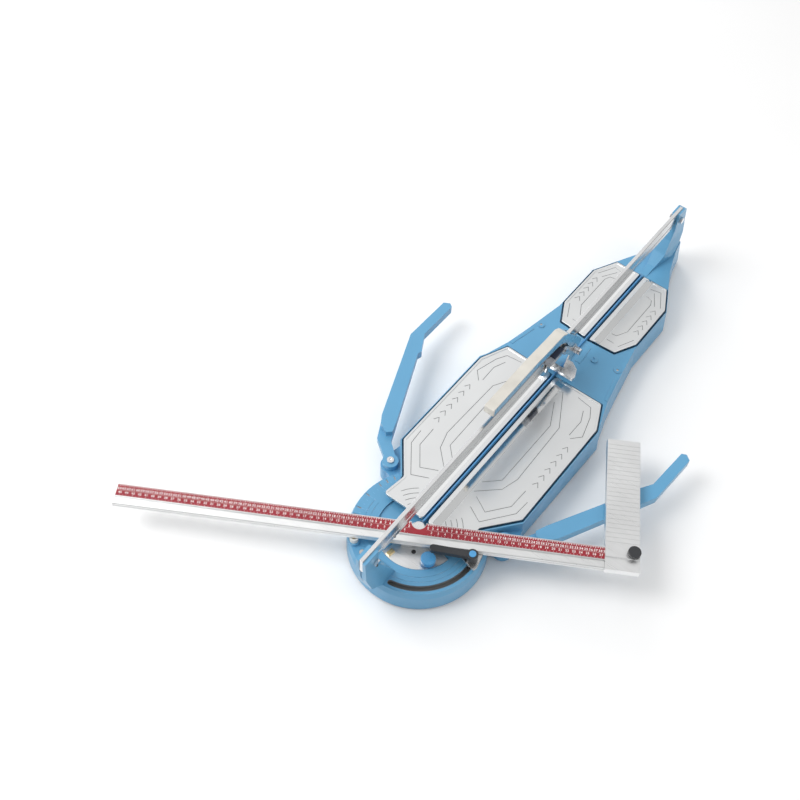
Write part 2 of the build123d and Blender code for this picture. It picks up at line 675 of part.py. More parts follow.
def carriage_side(side):
    """Side plate between the rail and the lever's cheek."""
    outline = [(446, KEEPER_LOW), (446, 154), (452, 158), (504, 158), (514, 152), (562, 92), (568, 82),
               (568, 66), (560, 58), (545, 58), (526, 70), (518, KEEPER_LOW)]
    plate = side_slab(outline, min(side * SIDE_IN, side * SIDE_OUT), max(side * SIDE_IN, side * SIDE_OUT))
    for _, y, z in rollers():
        plate -= pin(-20, 20, y, z, AXLE_RADIUS + RUN)
    return plate - pin(-20, 20, LEVER_PIVOT_Y, LEVER_PIVOT_Z, PIVOT_RADIUS + RUN)


def rail_keeper():
    """Plastic pad that keeps the carriage's front from lifting off the rail."""
    return box(-SIDE_IN, SIDE_IN, 446, 486, KEEPER_LOW, RAIL_BOTTOM - CLEAR)


def bearing_housing(side):
    """Dark housing on the outside of a side plate, narrower below."""
    section = [(SIDE_OUT, 142), (HOUSING_OUT, 142), (HOUSING_OUT, 137), (14, 122), (SIDE_OUT, 122)]
    block = front_slab(section, 453, 488)
    block = chamfer(block.faces().sort_by(Axis.Z)[-1].edges(), 1)
    return block if side > 0 else mirror(block, Plane.YZ)


def wiper(side):
    """Grey wiper pad in front of a housing."""
    section = [(SIDE_OUT, 138), (HOUSING_OUT, 138), (HOUSING_OUT, 135), (14, 124), (SIDE_OUT, 124)]
    block = front_slab(section, 437, 452.8)
    block += box(SIDE_IN, SIDE_OUT, 437, 445.8, 124, 138)
    return block if side > 0 else mirror(block, Plane.YZ)


def roller(y, z):
    """Ball-bearing roller."""
    wheel = pin(-ROLLER_HALF, ROLLER_HALF, y, z, ROLLER_RADIUS)
    return wheel - pin(-ROLLER_HALF, ROLLER_HALF, y, z, AXLE_RADIUS + RUN)


def lever_cheek_outline():
    """Side view of the bent lever, as (y, z)."""
    top = [(228, 166), (228, 186), (378, 186), (448, 181), (488, 180), (516, 160.5), (567, 103), (592, 72)]
    below = [(592, 60), (584, 46), (566, 46), (548, 60), (538, 78), (533, 98), (512, 134), (488, 152),
             (404, 166)]
    return top + below


def lever_channel():
    """Blue steel channel: two cheeks, joined above the rail."""
    outline = lever_cheek_outline()
    lever = side_slab(outline, CHEEK_IN, CHEEK_OUT) + side_slab(outline, -CHEEK_OUT, -CHEEK_IN)
    web = [(228, 183), (228, 186), (378, 186), (448, 181), (488, 180), (516, 160.5), (524, 151.5),
           (521.8, 149.5), (513.8, 158.5), (486.6, 177), (448, 178), (378, 183)]
    lever += side_slab(web, -CHEEK_IN, CHEEK_IN)
    return lever - pin(-20, 20, LEVER_PIVOT_Y, LEVER_PIVOT_Z, PIVOT_RADIUS + RUN)


def lever_grip():
    """Pale cover along the top of the lever, with a turned-down front end."""
    profile = [(224, 168), (224, 187), (227, 189), (378, 189), (448, 184), (489, 183), (508, 170),
               (506.3, 167.3), (488, 180), (448, 181), (378, 186), (228, 186), (228, 168)]
    return side_slab(profile, -CHEEK_OUT, CHEEK_OUT)


def wheel_holder():
    """Fork between the lever's cheeks that carries the scoring wheel."""
    block = side_slab([(572, 66), (590, 66), (590, 46), (572, 46)], -CHEEK_IN, CHEEK_IN)
    fork = side_slab([(573, 48), (590, 48), (588, 26), (573, 26)], -5, 5)
    fork -= box(-1.8, 1.8, 560, 600, 10, 43)
    holder = block + fork
    return holder - pin(-10, 10, WHEEL_Y, WHEEL_Z, WHEEL_AXLE)


def lever_rest():
    """Rubber pad on the carriage that the lever comes down on."""
    return side_slab([(494, 158), (494, 171.4), (507, 162.4), (507, 158)], -SIDE_OUT, SIDE_OUT)


def scoring_wheel():
    """Thin wheel with a sharp edge."""
    bore = WHEEL_AXLE + RUN
    half = [(bore, -1.2), (8.0, -1.2), (WHEEL_RADIUS, -0.1), (WHEEL_RADIUS, 0.1), (8.0, 1.2), (bore, 1.2)]
    wheel = revolve(Plane.XZ * Polygon(*half, align=None), Axis.Z)
    return Pos(0, WHEEL_Y, WHEEL_Z) * Rot(0, 90, 0) * wheel


def breaking_foot():
    """Chromed V-shaped foot that presses on both sides of the score."""
    half = [(0, 508), (49, 508), (51, 516), (42, 538), (24, 550), (15, 550), (15, 522), (0, 522)]
    foot = None
    for side in (-1, 1):
        wing = slab([(side * x, y) for x, y in half], 22, 31)
        foot = wing if foot is None else foot + wing
    leg = [(530, 22), (544, 22), (566, 58), (570, 70), (562, 82), (548, 82), (520, 114), (508, 126),
           (498, 123), (497, 114), (528, 76), (538, 62), (526, 31)]
    for side in (-1, 1):
        inner = side * (CHEEK_OUT + 1)
        outer = side * (CHEEK_OUT + 4.5)
        foot += side_slab(leg, min(inner, outer), max(inner, outer))
    return foot - pin(-40, 40, LEVER_PIVOT_Y, LEVER_PIVOT_Z, PIVOT_RADIUS + RUN)


def pivot_bolt():
    """Bolt through the carriage, the lever and the foot."""
    bolt = pin(-31, 31, LEVER_PIVOT_Y, LEVER_PIVOT_Z, PIVOT_RADIUS)
    for x in (-33, 28):
        bolt += hexagon(x, x + 5, LEVER_PIVOT_Y, LEVER_PIVOT_Z, 15)
    return bolt


def foot_spring(side):
    """Return spring round the pivot bolt, outside a leg of the foot."""
    turns = []
    for i in range(4):
        ring = Rot(0, 90, 0) * Torus(7.5, 1.15)
        turns.append(Pos(side * (18.4 + 2.5 * i), LEVER_PIVOT_Y, LEVER_PIVOT_Z) * ring)
    return turns


def stop_bolt(side):
    """Small bolt at the top of a leg of the foot."""
    x = side * (CHEEK_OUT + 4.5)
    x += side * 0.02
    return hexagon(min(x, x + side * 4), max(x, x + side * 4), 505, 117, 10)


# ---- write every node ---------------------------------------------------
def group(shapes):
    """Several separate solids in one node."""
    return Compound(children=[s if isinstance(s, Solid) else s.solids()[0] for s in shapes])


def write_base():
    save("base_casting", base_casting())
    save("base_pan", base_pan())
    save("rubber_feet", group(feet()))
    save("breaking_rib", box(-RIB_HALF, RIB_HALF, RIB_FRONT, RIB_REAR, FRAME_TOP, RIB_TOP))
    save("rail", rail())
    save("front_post", front_post())
    save("rear_post", rear_post())
    save("rail_bolts", group([rail_bolt(FRONT_BOLT, FRONT_POST_HALF), rail_bolt(REAR_BOLT, REAR_POST_HALF)]))
    save("rail_stop_pin", pin(-7, 7, *STOP_PIN))
    head_bottom = DECK_TOP - 1 + CLEAR
    swivel = rod(0, 0, CASTING_BOTTOM + 6, head_bottom, 8) + rod(0, 0, head_bottom, -0.5, SWIVEL_HEAD)
    save("swivel_pin", chamfer(swivel.edges().sort_by(Axis.Z)[-1], 1))
    save("rule_rest_stud", rod(*REST_STUD, -12, 0, 9.5) - rod(*REST_STUD, -3, 0, 5))
    save("rest_stud_core", rod(*REST_STUD, -3, -0.5, 5))
    screws = [rod(side * SCREW_PAD[0], SCREW_PAD[1], FRAME_TOP - 3, FRAME_TOP + 1, 2.9) for side in (-1, 1)]
    screws.append(rod(*TABLE_SCREW, DECK_TOP, -13, 6))
    save("deck_screws", group(screws))
    save("plate_hinge_pins", group(hinge_pins()))
    save("arm_screws", group([arm_screw(-1), arm_screw(1)]))


def write_plates():
    for side, word in ((-1, "left"), (1, "right")):
        large = breaking_plate(LARGE_PLATE, side, LARGE_HINGE_X, LARGE_HINGES, large_pattern(side), 8)
        small = breaking_plate(SMALL_PLATE, side, SMALL_HINGE_X, SMALL_HINGES, small_pattern(side), 3)
        save(f"large_plate_{word}", large)
        save(f"small_plate_{word}", small)
        save(f"large_springs_{word}", group(plate_springs(LARGE_SPRINGS, side)))
        save(f"small_springs_{word}", group(plate_springs(SMALL_SPRINGS, side)))


def write_rule():
    save("rule_extrusion", rule_extrusion())
    save("scale_strip", scale_strip())
    save("sector_plate", sector_plate())
    save("rule_bracket", rule_bracket())
    save("clamp_bracket", clamp_bracket())
    save("clamp_bolt", clamp_bolt())
    save("clamp_lever", clamp_lever())
    save("clamp_cap", turned(rod(CLAMP_U, CLAMP_V, 27, 28.5, 7.5)))
    save("sector_cap", sector_cap())
    save("angle_pointer", angle_pointer())
    save("fence_blade", fence_blade())
    save("fence_block", fence_block())
    save("fence_knob", fence_knob())


def write_arms():
    save("side_arm_left", side_arm(-1, ARM_LEFT_ANGLE))
    save("side_arm_right", side_arm(1, ARM_RIGHT_ANGLE))


def write_carriage():
    for side, word in ((-1, "left"), (1, "right")):
        save(f"carriage_side_{word}", carriage_side(side))
        save(f"bearing_housing_{word}", bearing_housing(side))
        save(f"wiper_{word}", wiper(side))
        save(f"foot_spring_{word}", group(foot_spring(side)))
    axle_end = SIDE_OUT - 0.4
    save("roller_axles", group([pin(-axle_end, axle_end, y, z, AXLE_RADIUS) for _, y, z in rollers()]))
    for name, y, z in rollers():
        save(f"roller_{name}", roller(y, z))
    save("pivot_bolt", pivot_bolt())
    save("lever_channel", lever_channel())
    save("lever_grip", lever_grip())
    save("rail_keeper", rail_keeper())
    save("lever_rest", lever_rest())
    save("wheel_holder", wheel_holder())
    save("wheel_axle", pin(-5, 5, WHEEL_Y, WHEEL_Z, WHEEL_AXLE))
    save("scoring_wheel", scoring_wheel())
    save("breaking_foot", breaking_foot())
    save("foot_stop_bolts", group([stop_bolt(-1), stop_bolt(1)]))


write_base()
write_plates()
write_rule()
write_arms()
write_carriage()
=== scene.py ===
import json
from math import cos, pi, radians, sin, sqrt

import bpy
from mathutils import Matrix, Quaternion, Vector


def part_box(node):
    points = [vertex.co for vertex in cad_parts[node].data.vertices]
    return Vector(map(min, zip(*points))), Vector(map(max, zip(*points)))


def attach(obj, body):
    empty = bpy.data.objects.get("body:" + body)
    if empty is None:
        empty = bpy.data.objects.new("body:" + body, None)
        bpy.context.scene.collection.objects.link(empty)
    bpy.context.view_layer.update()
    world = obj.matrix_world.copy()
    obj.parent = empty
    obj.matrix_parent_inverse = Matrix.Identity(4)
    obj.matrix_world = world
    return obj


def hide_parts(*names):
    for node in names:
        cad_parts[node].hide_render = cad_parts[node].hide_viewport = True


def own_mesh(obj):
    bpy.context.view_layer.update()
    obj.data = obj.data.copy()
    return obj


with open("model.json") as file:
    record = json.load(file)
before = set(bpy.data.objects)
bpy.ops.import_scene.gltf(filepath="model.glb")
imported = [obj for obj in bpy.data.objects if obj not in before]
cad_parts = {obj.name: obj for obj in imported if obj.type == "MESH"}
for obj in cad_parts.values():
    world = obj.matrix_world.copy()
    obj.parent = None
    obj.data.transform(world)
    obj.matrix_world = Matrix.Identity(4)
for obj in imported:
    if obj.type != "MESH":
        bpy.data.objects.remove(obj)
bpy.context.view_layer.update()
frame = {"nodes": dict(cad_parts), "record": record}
NODES = frame["nodes"]
MM = 0.001

# ---- places on the machine, in metres -----------------------------------
RULE_ANGLE = radians(30.8)                         # the rule's turn at rest
ALONG = Vector((cos(RULE_ANGLE), sin(RULE_ANGLE), 0.0))
ACROSS = Vector((-sin(RULE_ANGLE), cos(RULE_ANGLE), 0.0))
PLATE_TOP = 0.082
TABLE_TOP = PLATE_TOP - 0.020
SLOT_CHANNEL = ((0.121, 0.1435), (0.030, 0.0608))  # radii from the swivel and heights
SLOPE = (0.0165, 0.0345)                           # polished slopes, from the cut line
GROOVE = (PLATE_TOP - 0.0035, PLATE_TOP - 0.0019)  # heights inside the engraved lines


# ---- materials ----------------------------------------------------------
class Shader:
    """A principled material with short calls for the usual texture nodes."""

    def __init__(self, name, color, roughness, metallic=0.0):
        self.material = bpy.data.materials.new(name)
        self.material.use_nodes = True
        self.tree = self.material.node_tree
        self.bsdf = self.tree.nodes["Principled BSDF"]
        self.bsdf.inputs["Base Color"].default_value = (*color, 1.0)
        self.bsdf.inputs["Roughness"].default_value = roughness
        self.bsdf.inputs["Metallic"].default_value = metallic
        self.color = color
        self.roughness = roughness
        self.coords = self.node("ShaderNodeTexCoord").outputs["Object"]
        self.height = None

    def node(self, kind, **settings):
        new = self.tree.nodes.new(kind)
        for key, value in settings.items():
            setattr(new, key, value)
        return new

    def link(self, source, target):
        self.tree.links.new(source, target)

    def mapped(self, scale=(1, 1, 1), turn=0.0):
        mapping = self.node("ShaderNodeMapping")
        mapping.inputs["Scale"].default_value = scale
        mapping.inputs["Rotation"].default_value = (0, 0, turn)
        self.link(self.coords, mapping.inputs["Vector"])
        return mapping.outputs["Vector"]

    def noise(self, scale, detail=3.0, stretch=(1, 1, 1), turn=0.0, roughness=0.5):
        texture = self.node("ShaderNodeTexNoise")
        texture.inputs["Scale"].default_value = scale
        texture.inputs["Detail"].default_value = detail
        texture.inputs["Roughness"].default_value = roughness
        self.link(self.mapped(stretch, turn), texture.inputs["Vector"])
        return texture.outputs["Fac"]

    def ramp(self, value, low, high, start=0.3, stop=0.7):
        ramp = self.node("ShaderNodeValToRGB")
        ramp.color_ramp.elements[0].position = start
        ramp.color_ramp.elements[1].position = stop
        ramp.color_ramp.elements[0].color = (low, low, low, 1)
        ramp.color_ramp.elements[1].color = (high, high, high, 1)
        self.link(value, ramp.inputs["Fac"])
        return ramp.outputs["Color"]

    def mix(self, kind, a, b, factor=1.0):
        mixer = self.node("ShaderNodeMix", data_type="RGBA", blend_type=kind)
        for socket, value in ((mixer.inputs[0], factor), (mixer.inputs[6], a), (mixer.inputs[7], b)):
            if isinstance(value, bpy.types.NodeSocket):
                self.link(value, socket)
            elif socket == mixer.inputs[0]:
                socket.default_value = value
            else:
                socket.default_value = (*value, 1.0)
        return mixer.outputs[2]

    def tint(self, value, amount):
        """Vary the base colour up and down by a noise."""
        source = self.bsdf.inputs["Base Color"]
        base = source.links[0].from_socket if source.is_linked else self.color
        self.link(self.mix("MULTIPLY", base, self.ramp(value, 1 - amount, 1 + amount)), source)

    def patches(self, mask, color):
        """Show another colour where a mask is white."""
        source = self.bsdf.inputs["Base Color"]
        base = source.links[0].from_socket if source.is_linked else self.color
        self.link(self.mix("MIX", base, color, mask), source)

    def position(self, axis):
        """One coordinate of the point being shaded, or its distance from the swivel."""
        if axis == "R":
            flat = self.mapped((1, 1, 0))
            length = self.node("ShaderNodeVectorMath", operation="LENGTH")
            self.link(flat, length.inputs[0])
            return length.outputs["Value"]
        split = self.node("ShaderNodeSeparateXYZ")
        self.link(self.coords, split.inputs[0])
        return split.outputs[axis]

    def between(self, value, low, high, blend=0.0003):
        """White where a value lies between two limits."""
        centre = (low + high) / 2
        away = self.node("ShaderNodeMath", operation="SUBTRACT")
        self.link(value, away.inputs[0])
        away.inputs[1].default_value = centre
        size = self.node("ShaderNodeMath", operation="ABSOLUTE")
        self.link(away.outputs[0], size.inputs[0])
        edge = self.node("ShaderNodeMapRange")
        edge.inputs["From Min"].default_value = (high - low) / 2 - blend
        edge.inputs["From Max"].default_value = (high - low) / 2
        edge.inputs["To Min"].default_value = 1.0
        edge.inputs["To Max"].default_value = 0.0
        self.link(size.outputs[0], edge.inputs["Value"])
        return edge.outputs["Result"]

    def both(self, first, second, operation="MULTIPLY"):
        product = self.node("ShaderNodeMath", operation=operation, use_clamp=True)
        self.link(first, product.inputs[0])
        self.link(second, product.inputs[1])
        return product.outputs[0]

    def polish(self, mask, roughness):
        """Lower the roughness where a mask is white."""
        socket = self.bsdf.inputs["Roughness"]
        source = socket.links[0].from_socket
        mixer = self.node("ShaderNodeMix", data_type="FLOAT")
        self.link(mask, mixer.inputs[0])
        self.link(source, mixer.inputs[2])
        mixer.inputs[3].default_value = roughness
        self.link(mixer.outputs[0], socket)

    def vary_roughness(self, value, amount):
        spread = self.node("ShaderNodeMapRange")
        spread.inputs["From Min"].default_value = 0.3
        spread.inputs["From Max"].default_value = 0.7
        spread.inputs["To Min"].default_value = max(0.02, self.roughness - amount)
        spread.inputs["To Max"].default_value = self.roughness + amount
        self.link(value, spread.inputs["Value"])
        self.link(spread.outputs["Result"], self.bsdf.inputs["Roughness"])

    def bump(self, value, strength, distance):
        bump = self.node("ShaderNodeBump")
        bump.inputs["Strength"].default_value = strength
        bump.inputs["Distance"].default_value = distance
        self.link(value, bump.inputs["Height"])
        if self.height is not None:
            self.link(self.height, bump.inputs["Normal"])
        self.height = bump.outputs["Normal"]
        self.link(self.height, self.bsdf.inputs["Normal"])

    def soft_edges(self, radius):
        """Catch the light on the edges."""
        bevel = self.node("ShaderNodeBevel", samples=4)
        bevel.inputs["Radius"].default_value = radius
        self.height = bevel.outputs["Normal"]
        self.link(self.height, self.bsdf.inputs["Normal"])

    def edge_mask(self, radius, start=0.02, stop=0.25):
        """White along edges, where the rounded normal leaves the true one, broken up by noise; used for
        rubbed wear and painted highlight.
        """
        bevel = self.node("ShaderNodeBevel", samples=4)
        bevel.inputs["Radius"].default_value = radius
        geometry = self.node("ShaderNodeNewGeometry")
        dot = self.node("ShaderNodeVectorMath", operation="DOT_PRODUCT")
        self.link(bevel.outputs["Normal"], dot.inputs[0])
        self.link(geometry.outputs["Normal"], dot.inputs[1])
        edge = self.node("ShaderNodeMapRange")
        edge.inputs["From Min"].default_value = 1 - stop
        edge.inputs["From Max"].default_value = 1 - start
        edge.inputs["To Min"].default_value = 1.0
        edge.inputs["To Max"].default_value = 0.0
        self.link(dot.outputs["Value"], edge.inputs["Value"])
        worn_and_highlit = self.node("ShaderNodeMath", operation="MULTIPLY", use_clamp=True)
        self.link(edge.outputs["Result"], worn_and_highlit.inputs[0])
        self.link(self.ramp(self.noise(55.0, 4.0), 0.0, 1.0, 0.42, 0.62), worn_and_highlit.inputs[1])
        return worn_and_highlit.outputs["Value"]


def painted(name, color, roughness=0.36):
    """Satin paint: faint orange peel, cloudy colour, paler edges that are part rubbed wear and part painted
    highlight.
    """
    s = Shader(name, color, roughness)
    s.soft_edges(0.0008)
    s.tint(s.noise(6.0, 2.0), 0.05)
    # painted highlight and rubbed wear: a paler copy of the colour along the edges
    s.patches(s.edge_mask(0.0012), tuple(min(1.0, 0.35 + 0.6 * c) for c in color))
    s.vary_roughness(s.noise(38.0, 4.0), 0.07)
    s.bump(s.noise(700.0, 2.0), 0.10, 0.0003)
    s.bsdf.inputs["Coat Weight"].default_value = 0.25
    s.bsdf.inputs["Coat Roughness"].default_value = 0.22
    return s


def casting_paint():
    """The base's paint, with painted shade darkening the inside of the slot to grey."""
    s = painted("blue_casting", BLUE)
    radii, heights = SLOT_CHANNEL
    slot_shade = s.both(s.between(s.position("R"), *radii), s.between(s.position("Z"), *heights))
    # painted shade: the inside of the deep slot coloured dark grey
    s.patches(slot_shade, (0.330, 0.330, 0.335))
    return s.material


def pressed_plate():
    """Bright pressed plate: painted shade darkening the engraved lines, a polished slope by the rib."""
    s = Shader("plate_metal", (0.82, 0.83, 0.832), 0.30, 1.0)
    s.soft_edges(0.0005)
    s.tint(s.noise(7.0, 2.0), 0.03)
    brushed = s.noise(500.0, 3.0, (1.0, 0.05, 1.0))
    s.vary_roughness(brushed, 0.015)
    right, left = s.between(s.position("X"), *SLOPE), s.between(s.position("X"), -SLOPE[1], -SLOPE[0])
    s.polish(s.both(right, left, "ADD"), 0.07)
    # painted shade: the floors of the engraved lines coloured dark grey
    s.patches(s.between(s.position("Z"), *GROOVE), (0.26, 0.265, 0.27))
    s.bump(s.noise(22.0, 1.0, (1.0, 0.6, 1.0)), 0.10, 0.0016)
    s.bump(brushed, 0.004, 0.0002)
    return s.material


def metal(name, color, roughness, streak=(1, 1, 1), turn=0.0, grain=900.0, strength=0.05, spread=0.05):
    """Bare metal with brushing along one direction and a few scuffs."""
    s = Shader(name, color, roughness, 1.0)
    s.soft_edges(0.0005)
    s.tint(s.noise(9.0, 3.0), 0.05)
    brushed = s.noise(grain, 3.0, streak, turn)
    s.tint(s.noise(160.0, 4.0, streak, turn, 0.6), 0.025)
    s.vary_roughness(brushed, spread)
    s.bump(brushed, strength, 0.0002)
    return s.material


def plastic(name, color, roughness, grain=1400.0, strength=0.2):
    """Moulded plastic or rubber with a fine grain."""
    s = Shader(name, color, roughness)
    s.soft_edges(0.0006)
    s.tint(s.noise(24.0, 3.0), 0.08)
    s.vary_roughness(s.noise(90.0, 4.0), 0.07)
    s.bump(s.noise(grain, 2.0), strength, 0.0002)
    return s.material


BLUE = (0.115, 0.350, 0.572)
LENGTHWISE = (1.0, 0.02, 1.0)
RULE_WISE = (0.02, 1.0, 1.0)

FINISH = {
    "blue_casting": casting_paint(),
    "blue_steel": painted("blue_steel", BLUE, 0.30).material,
    "rib_paint": painted("rib_paint", (0.060, 0.260, 0.540), 0.30).material,
    "plate_metal": pressed_plate(),
    "dark_housing": plastic("dark_housing", (0.036, 0.043, 0.070), 0.35),
    "grey_plastic": plastic("grey_plastic", (0.42, 0.43, 0.45), 0.45),
    "blue_plastic": plastic("blue_plastic", (0.085, 0.340, 0.650), 0.25, 1400.0, 0.08),
    "pale_grip": plastic("pale_grip", (0.66, 0.635, 0.575), 0.38, 900.0, 0.15),
    "black_plastic": plastic("black_plastic", (0.030, 0.031, 0.035), 0.42),
    "rubber": plastic("rubber", (0.025, 0.025, 0.026), 0.75, 900.0, 0.4),
    "rail_aluminium": metal("rail_aluminium", (0.76, 0.765, 0.77), 0.17, LENGTHWISE, 0.0, 700.0, 0.05),
    "rule_aluminium": metal("rule_aluminium", (0.87, 0.875, 0.875), 0.33, RULE_WISE, -RULE_ANGLE, 800.0,
                            0.05, 0.06),
    "scale_red": plastic("scale_red", (0.31, 0.016, 0.028), 0.45, 600.0, 0.10),
    "cast_bracket": metal("cast_bracket", (0.50, 0.51, 0.52), 0.45, (1, 1, 1), 0.0, 400.0, 0.35, 0.10),
    "steel": metal("steel", (0.52, 0.52, 0.52), 0.25, (1, 1, 1), 0.0, 600.0, 0.06),
    "chrome": metal("chrome", (0.74, 0.74, 0.75), 0.08, (1, 1, 1), 0.0, 300.0, 0.03, 0.03),
    "satin_chrome": metal("satin_chrome", (0.80, 0.80, 0.80), 0.30, (1, 1, 1), 0.0, 500.0, 0.03, 0.05),
    "stud_white": plastic("stud_white", (0.76, 0.76, 0.73), 0.32),
    "brass": metal("brass", (0.66, 0.52, 0.28), 0.30, (1, 1, 1), 0.0, 500.0, 0.06),
}
# Nodes that look duller than the rest of their slot.
SATIN_NODES = {"breaking_foot": "satin_chrome", "swivel_pin": "satin_chrome"}
MARK_BLUE = painted("mark_blue", (0.24, 0.50, 0.76)).material
PRINT_WHITE = plastic("print_white", (0.85, 0.83, 0.82), 0.5, 800.0, 0.05)

for entry in frame["record"]["subparts"]:
    materials = NODES[entry["node"]].data.materials
    materials.clear()
    materials.append(FINISH[SATIN_NODES.get(entry["node"], entry["material_slot"])])


# ---- printed scale on the rule ------------------------------------------
# Millimetres along the rule from the swivel, and across it from its back edge.
SCALE_LEFT, SCALE_RIGHT = -643, 458
SCALE_HOLE = 18                      # no print this near the swivel
LAST_LEFT, LAST_RIGHT = 64, 45       # the outermost numerals, in centimetres
TICKS_BACK, TICKS_FRONT = -2.2, -28.0
BACK_NUMERALS = (-11.4, 7.4)         # place across the rule, and height
FRONT_NUMERALS = (-20.6, 6.8)
MIDLINE = (-15.55, -15.25)
HALF_STEP = 5 * sqrt(2)              # the front row counts along a tile's diagonal
PRINT_LIFT = 0.00005                 # metres above the scale strip


def digit_shapes():
    """Outlines of the ten digits as flat triangles, one unit tall."""
    shapes = {}
    for digit in "0123456789":
        curve = bpy.data.curves.new("digit", "FONT")
        curve.body = digit
        curve.size = 1.0
        curve.align_x = "CENTER"
        curve.align_y = "CENTER"
        curve.resolution_u = 3
        curve.offset = 0.022
        holder = bpy.data.objects.new("digit", curve)
        mesh = bpy.data.meshes.new_from_object(holder)
        shapes[digit] = ([v.co.copy() for v in mesh.vertices], [list(p.vertices) for p in mesh.polygons])
        bpy.data.objects.remove(holder)
        bpy.data.curves.remove(curve)
        bpy.data.meshes.remove(mesh)
    return shapes


def on_rule(u, v, z):
    """A point in metres from millimetres along and across the rule."""
    return ALONG * (u * MM) + ACROSS * (v * MM) + Vector((0, 0, z))


def mesh_piece(name, points, faces, material, body):
    mesh = bpy.data.meshes.new(name)
    mesh.from_pydata(points, [], faces)
    mesh.materials.append(material)
    piece = bpy.data.objects.new(name, mesh)
    bpy.context.scene.collection.objects.link(piece)
    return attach(piece, body)


def printed_scale():
    """White ticks and numerals: square row on top, diagonal row below."""
    digits = digit_shapes()
    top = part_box("scale_strip")[1].z + PRINT_LIFT
    points, faces = [], []

    def quad(u0, u1, v0, v1):
        first = len(points)
        points.extend(on_rule(u, v, top) for u, v in ((u0, v0), (u1, v0), (u1, v1), (u0, v1)))
        faces.append([first, first + 1, first + 2, first + 3])

    def number(value, u, v, height):
        text = str(value)
        pitch = 0.60 * height
        for place, digit in enumerate(text):
            centre = u + (place - (len(text) - 1) / 2) * pitch
            outline, polygons = digits[digit]
            first = len(points)
            points.extend(on_rule(centre + height * p.x, v + height * p.y, top) for p in outline)
            faces.extend([[first + i for i in polygon] for polygon in polygons])

    for step in range(SCALE_LEFT, SCALE_RIGHT):
        if abs(step) < SCALE_HOLE:
            continue
        length = 4.4 if step % 10 == 0 else 3.0 if step % 5 == 0 else 1.5
        half = 0.45 if step % 5 == 0 else 0.2
        quad(step - half, step + half, TICKS_BACK - length, TICKS_BACK)
    for mark in range(-LAST_LEFT, LAST_RIGHT + 1):
        if abs(mark) >= 2:
            number(abs(mark), mark * 10, *BACK_NUMERALS)
    for step in range(int(SCALE_LEFT / HALF_STEP), int(SCALE_RIGHT / HALF_STEP) + 1):
        u = step * HALF_STEP
        if abs(u) < SCALE_HOLE:
            continue
        length = 3.4 if step % 2 == 0 else 2.0
        quad(u - 0.25, u + 0.25, TICKS_FRONT, TICKS_FRONT + length)
        if step % 2 == 0:
            number(abs(step) // 2, u, *FRONT_NUMERALS)
    quad(SCALE_LEFT, -SCALE_HOLE, *MIDLINE)
    quad(SCALE_HOLE, SCALE_RIGHT, *MIDLINE)
    mesh_piece("scale_print", points, faces, PRINT_WHITE, "swivel")


# ---- degree marks on the angle table, in metres -------------------------
MARK_LIFT = 0.0003
MARK_RADIUS, MARK_HALF = 0.134, 0.0004                             # outer end and half width
DEGREE_RADIUS, DEGREE_HEIGHT, DEGREE_PITCH = 0.120, 0.007, 0.0042  # the numerals


def degree_marks():
    """Raised ticks and numerals round the left of the angle table."""
    digits = digit_shapes()
    top = TABLE_TOP + MARK_LIFT
    points, faces = [], []

    def place(angle, outward, along):
        direction = Vector((cos(angle), sin(angle), 0))
        side = Vector((-direction.y, direction.x, 0))
        return direction * outward + side * along + Vector((0, 0, top))

    for degree in range(-60, 31, 5):
        angle = radians(180 + degree)
        inner = MARK_RADIUS - (0.008 if degree % 15 == 0 else 0.004)
        first = len(points)
        for outward, along in ((MARK_RADIUS, -MARK_HALF), (MARK_RADIUS, MARK_HALF),
                               (inner, MARK_HALF), (inner, -MARK_HALF)):
            points.append(place(angle, outward, along))
        faces.append([first, first + 1, first + 2, first + 3])
        if degree % 15:
            continue
        text = str(abs(degree))
        for index, digit in enumerate(text):
            offset = (index - (len(text) - 1) / 2) * DEGREE_PITCH
            outline, polygons = digits[digit]
            first = len(points)
            points.extend(place(angle, DEGREE_RADIUS - DEGREE_HEIGHT * p.y, -offset - DEGREE_HEIGHT * p.x)
                          for p in outline)
            faces.extend([[first + i for i in polygon][::-1] for polygon in polygons])
    mesh_piece("degree_marks", points, faces, MARK_BLUE, "base")


# ---- small parts, in metres ---------------------------------------------
PLUG_PLACE = (0.022, -0.045)
PLUG_PROFILE = ((0.0048, -0.003), (0.0048, 0.0002), (0.0042, 0.0006), (0.0030, 0.0006), (0.0024, -0.0008))
SEAL_PROFILE = ((0.0064, 0.0), (0.0064, 0.00025), (0.0058, 0.0004), (0.0044, 0.0004), (0.0040, 0.0))


def lathe(name, profile, place, axis, slot, body, steps=28):
    """A small turned piece: (radius, height) points spun round an axis."""
    turn = Vector((0, 0, 1)).rotation_difference(Vector(axis)).to_matrix()
    points, faces = [], []
    for radius, height in profile:
        for step in range(steps):
            angle = 2 * pi * step / steps
            points.append(Vector(place) + turn @ Vector((radius * cos(angle), radius * sin(angle), height)))
    for ring in range(len(profile) - 1):
        for step in range(steps):
            low, next_low = ring * steps + step, ring * steps + (step + 1) % steps
            faces.append([low, next_low, next_low + steps, low + steps])
    faces.append(list(range(steps))[::-1])
    faces.append([(len(profile) - 1) * steps + step for step in range(steps)])
    return mesh_piece(name, points, faces, FINISH[slot], body)


def small_parts():
    """Black plug in the sector and rubber seals on the rollers' faces."""
    sector_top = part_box("sector_plate")[1].z
    lathe("sector_plug", PLUG_PROFILE, (*PLUG_PLACE, sector_top), (0, 0, 1), "black_plastic", "swivel")
    for name in ("upper_front", "upper_rear", "lower_rear"):
        low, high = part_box("roller_" + name)
        for side, word in ((-1, "left"), (1, "right")):
            place = (side * high.x, (low.y + high.y) / 2, (low.z + high.z) / 2)
            lathe(f"seal_{name}_{word}", SEAL_PROFILE, place, (side, 0, 0), "rubber", "roller_" + name)


